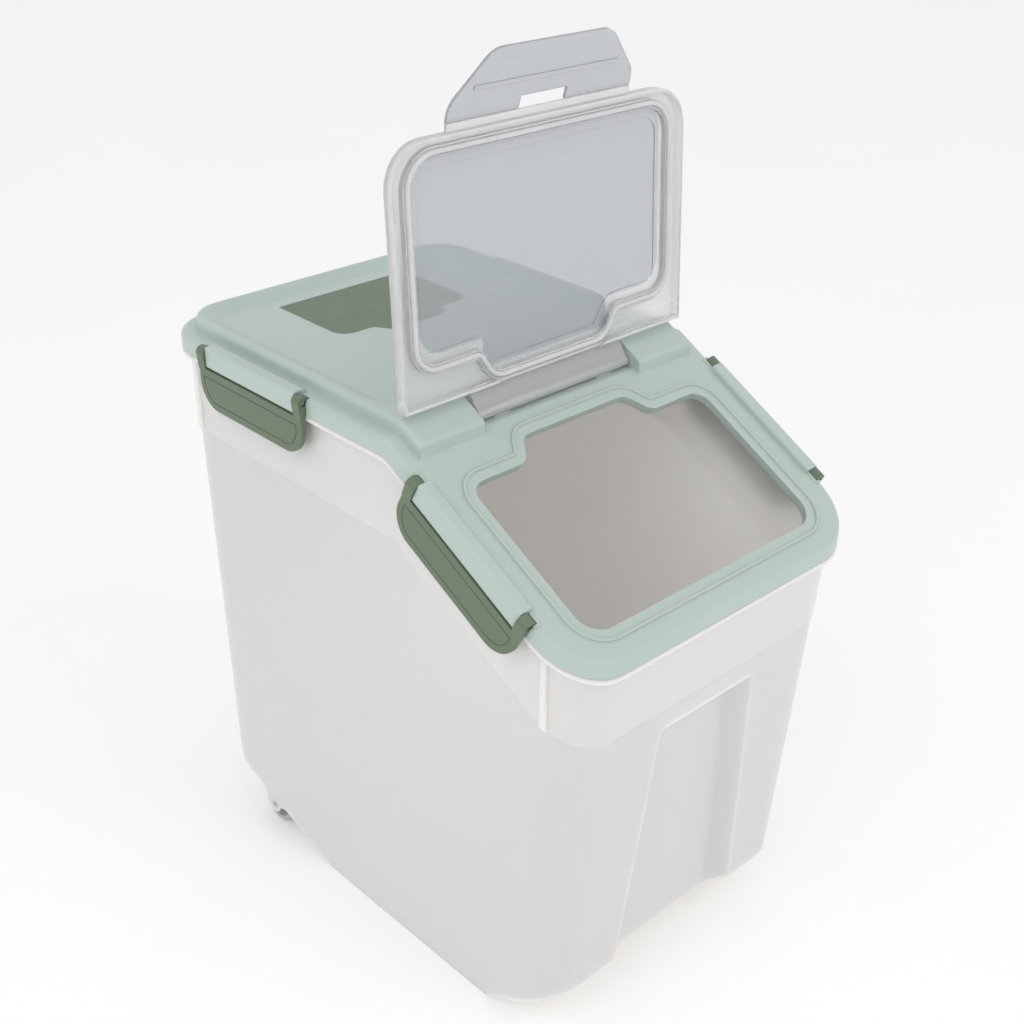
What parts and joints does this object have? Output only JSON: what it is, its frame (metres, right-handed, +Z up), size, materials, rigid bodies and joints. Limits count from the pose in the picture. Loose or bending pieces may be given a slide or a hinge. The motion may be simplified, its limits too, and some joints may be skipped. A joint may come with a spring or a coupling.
{
  "type": "pet food bin",
  "caption": "Wheeled tub for dry pet food with a sloping lid, a clear flap over the scoop opening, side latches and a desiccant pocket.",
  "frame": {"origin": "on the floor, under the middle of the lid", "axes": "+X to the right seen from the front, +Y to the back, +Z up"},
  "size_m": [0.2916, 0.43, 0.6419],
  "materials": {
    "tub": "fine satin",
    "lid": "satin",
    "latch": "satin",
    "cover": "satin",
    "clear": "clear moulded plastic",
    "clear_tongue": "clear moulded plastic",
    "flap_seal": "soft silicone",
    "seal": "soft silicone",
    "rod": "drawn",
    "axle": "drawn",
    "tray": "satin",
    "wheel": "matte"
  },
  "bodies": {
    "tub": {"bin_body": "tub", "wheel_axle_left": "axle", "wheel_axle_right": "axle"},
    "lid": {"lid": "lid", "lid_gasket": "seal", "desiccant_tray": "tray", "flap_hinge_rod": "rod"},
    "flap": {"flap": "clear", "flap_gasket": "flap_seal"},
    "tongue": {"flap_tongue": "clear_tongue"},
    "desiccant_cover": {"desiccant_cover": "cover"},
    "latch_front_left": {"latch_front_left": "latch"},
    "latch_front_right": {"latch_front_right": "latch"},
    "latch_rear_left": {"latch_rear_left": "latch"},
    "latch_rear_right": {"latch_rear_right": "latch"},
    "wheel_left": {"wheel_left": "wheel"},
    "wheel_right": {"wheel_right": "wheel"}
  },
  "joints": [
    {"name": "lid_lift", "type": "slide", "parent": "tub", "child": "lid", "axis": [0, 0, 1], "range_m": [0, 0.25]},
    {"name": "flap_hinge", "type": "hinge", "parent": "lid", "child": "flap", "pos_m": [0, -0.0495, 0.4145], "axis": [1, 0, 0], "range_deg": [0, 121.9]},
    {"name": "tongue_bend", "type": "hinge", "parent": "flap", "child": "tongue", "pos_m": [0, -0.03218, 0.60107], "axis": [1, 0, 0], "range_deg": [-18.5, 43]},
    {"name": "cover_hinge", "type": "hinge", "parent": "lid", "child": "desiccant_cover", "pos_m": [0, 0.1764, 0.419], "axis": [-1, 0, 0], "range_deg": [0, 85]},
    {"name": "latch_front_left_hinge", "type": "hinge", "parent": "lid", "child": "latch_front_left", "pos_m": [-0.141, -0.12252, 0.37169], "axis": [0, 0.8796, 0.4756], "range_deg": [0, 95]},
    {"name": "latch_front_right_hinge", "type": "hinge", "parent": "lid", "child": "latch_front_right", "pos_m": [0.141, -0.12252, 0.37169], "axis": [0, -0.8796, -0.4756], "range_deg": [0, 95]},
    {"name": "latch_rear_left_hinge", "type": "hinge", "parent": "lid", "child": "latch_rear_left", "pos_m": [-0.141, 0.0985, 0.414], "axis": [0, 1, 0], "range_deg": [0, 95]},
    {"name": "latch_rear_right_hinge", "type": "hinge", "parent": "lid", "child": "latch_rear_right", "pos_m": [0.141, 0.0985, 0.414], "axis": [0, -1, 0], "range_deg": [0, 95]},
    {"name": "wheel_left_spin", "type": "hinge", "parent": "tub", "child": "wheel_left", "pos_m": [-0.1184, 0.13, 0.0175], "axis": [1, 0, 0], "continuous": true},
    {"name": "wheel_right_spin", "type": "hinge", "parent": "tub", "child": "wheel_right", "pos_m": [0.1184, 0.13, 0.0175], "axis": [1, 0, 0], "continuous": true}
  ]
}
